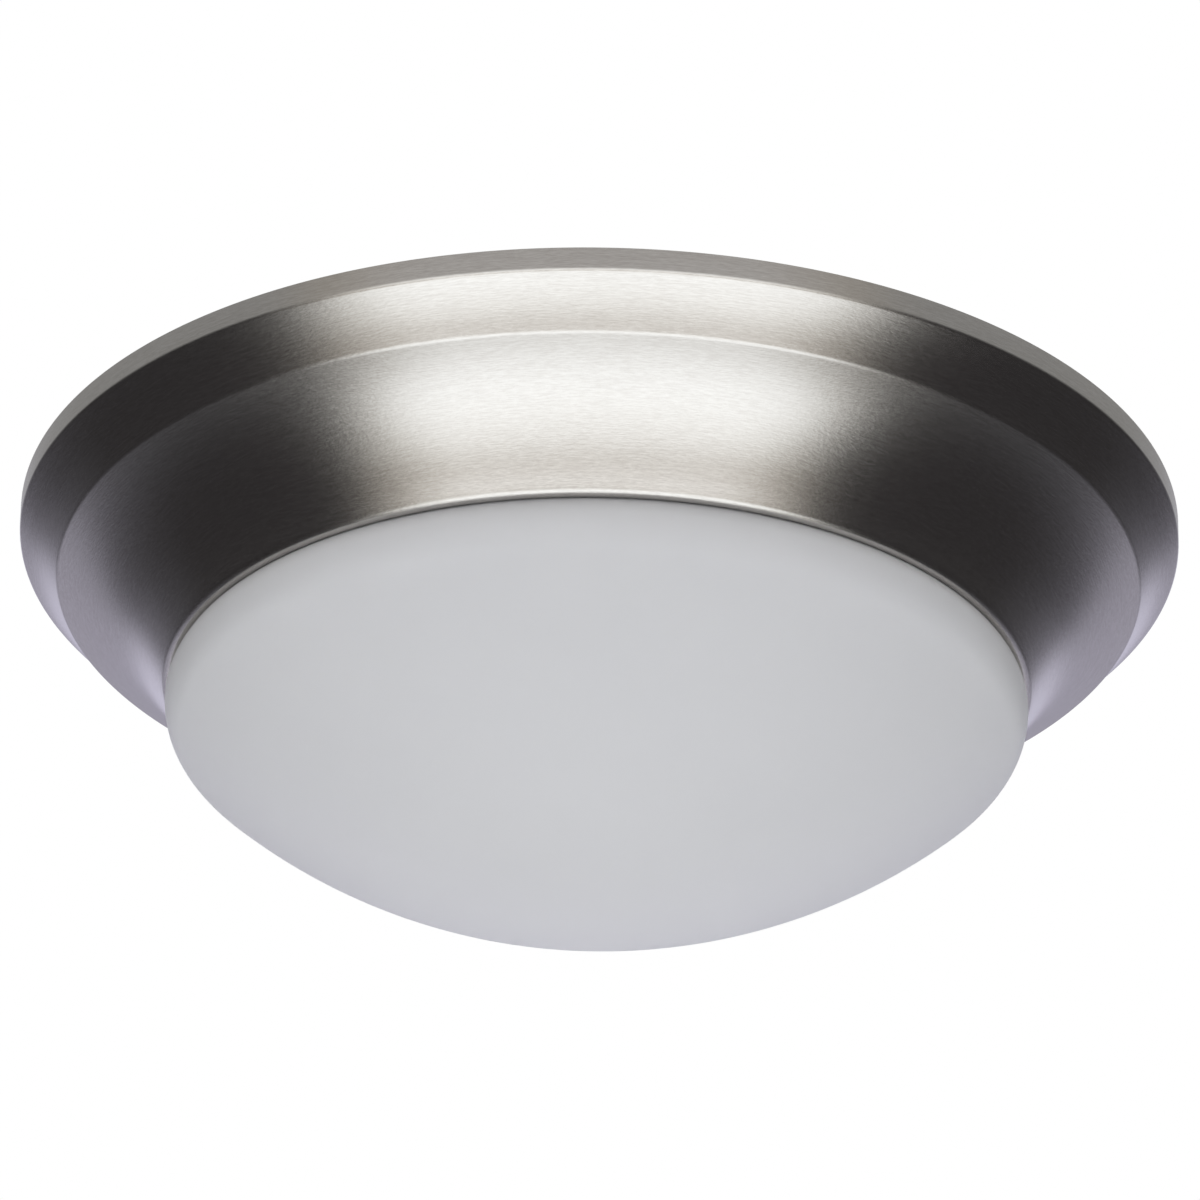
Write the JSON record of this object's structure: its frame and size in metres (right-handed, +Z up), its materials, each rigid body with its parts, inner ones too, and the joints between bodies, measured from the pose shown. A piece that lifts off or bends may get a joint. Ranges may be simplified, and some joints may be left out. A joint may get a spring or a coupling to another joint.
{
  "type": "flush mount ceiling light",
  "caption": "Shallow round ceiling light with a stepped brushed metal pan, a twist-off opal glass dome, screw-base lamps inside and a slotted mounting bar.",
  "frame": {"origin": "centre of the ceiling plane, on the crossbar's top face", "axes": "+Z up into the ceiling, X along the crossbar and the lamps, -Y towards the viewer"},
  "size_m": [0.356, 0.356, 0.1218],
  "materials": {
    "brushed_nickel": "spun and finely brushed, nickel-plated, satin",
    "opal_glass": "opal white glass with a satin etched outside",
    "white_enamel": "gloss white baked enamel on sheet steel",
    "zinc_steel": "zinc-plated steel",
    "spring_steel": "bright spring steel",
    "green_screw": "green passivated steel",
    "copper": "bare copper wire",
    "glass_fibre": "soft yellow glass-fibre wool, faced",
    "nylon": "natural nylon",
    "porcelain": "white glazed porcelain",
    "brass": "bright brass sheet",
    "black_lead": "black insulation",
    "white_lead": "white insulation",
    "orange_plastic": "orange moulded plastic",
    "foam": "soft white foam strip",
    "lamp_tip": "dark glass insulator with a bright centre contact",
    "lamp_cap": "nickel-plated screw cap",
    "lamp_housing": "white moulded housing",
    "lamp_globe": "translucent white diffuser"
  },
  "bodies": {
    "base": {"crossbar": "zinc_steel", "fixture_screws": "zinc_steel", "ground_screw": "green_screw", "ground_lead": "copper", "dish_ground_screw": "green_screw", "insulation_pad": "glass_fibre", "pan": "brushed_nickel", "reflector_dish": "white_enamel", "neck_rivets": "zinc_steel", "lock_clips": "spring_steel", "clip_rivets": "zinc_steel", "wire_bushing": "nylon", "socket_bracket_a": "zinc_steel", "socket_bracket_b": "zinc_steel", "bracket_rivets": "zinc_steel", "socket_screws": "zinc_steel", "socket_body_a": "porcelain", "socket_body_b": "porcelain", "socket_shell_a": "brass", "socket_shell_b": "brass", "socket_contact_a": "brass", "socket_contact_b": "brass", "lead_black_a": "black_lead", "lead_black_b": "black_lead", "lead_white_a": "white_lead", "lead_white_b": "white_lead", "wire_nut_black": "orange_plastic", "wire_nut_white": "orange_plastic"},
    "dome_ring": {"rim_gasket": "foam"},
    "dome": {"dome_glass": "opal_glass"},
    "lamp_a_tip": {"lamp_a_contact": "lamp_tip"},
    "lamp_a": {"lamp_a_cap": "lamp_cap", "lamp_a_housing": "lamp_housing", "lamp_a_globe": "lamp_globe"},
    "lamp_b_tip": {"lamp_b_contact": "lamp_tip"},
    "lamp_b": {"lamp_b_cap": "lamp_cap", "lamp_b_housing": "lamp_housing", "lamp_b_globe": "lamp_globe"}
  },
  "joints": [
    {"name": "dome_drop", "type": "slide", "parent": "base", "child": "dome_ring", "axis": [0, 0, -1], "range_m": [0, 0.11]},
    {"name": "dome_twist", "type": "hinge", "parent": "dome_ring", "child": "dome", "pos_m": [0, 0, -0.0614], "axis": [0, 0, -1], "range_deg": [0, 30], "deforming": ["lock_clips"]},
    {"name": "lamp_a_out", "type": "slide", "parent": "base", "child": "lamp_a_tip", "axis": [1, 0, 0], "range_m": [0, 0.0218]},
    {"name": "lamp_a_turn", "type": "hinge", "parent": "lamp_a_tip", "child": "lamp_a", "pos_m": [0, 0.035, -0.0565], "axis": [1, 0, 0], "range_deg": [0, 2160]},
    {"name": "lamp_b_out", "type": "slide", "parent": "base", "child": "lamp_b_tip", "axis": [-1, 0, 0], "range_m": [0, 0.0218]},
    {"name": "lamp_b_turn", "type": "hinge", "parent": "lamp_b_tip", "child": "lamp_b", "pos_m": [0, -0.035, -0.0565], "axis": [-1, 0, 0], "range_deg": [0, 2160]}
  ],
  "couplings": [
    {"joint": "lamp_a_out", "follows": "lamp_a_turn", "m_per_rad": 0.0005775},
    {"joint": "lamp_b_out", "follows": "lamp_b_turn", "m_per_rad": 0.0005775}
  ]
}
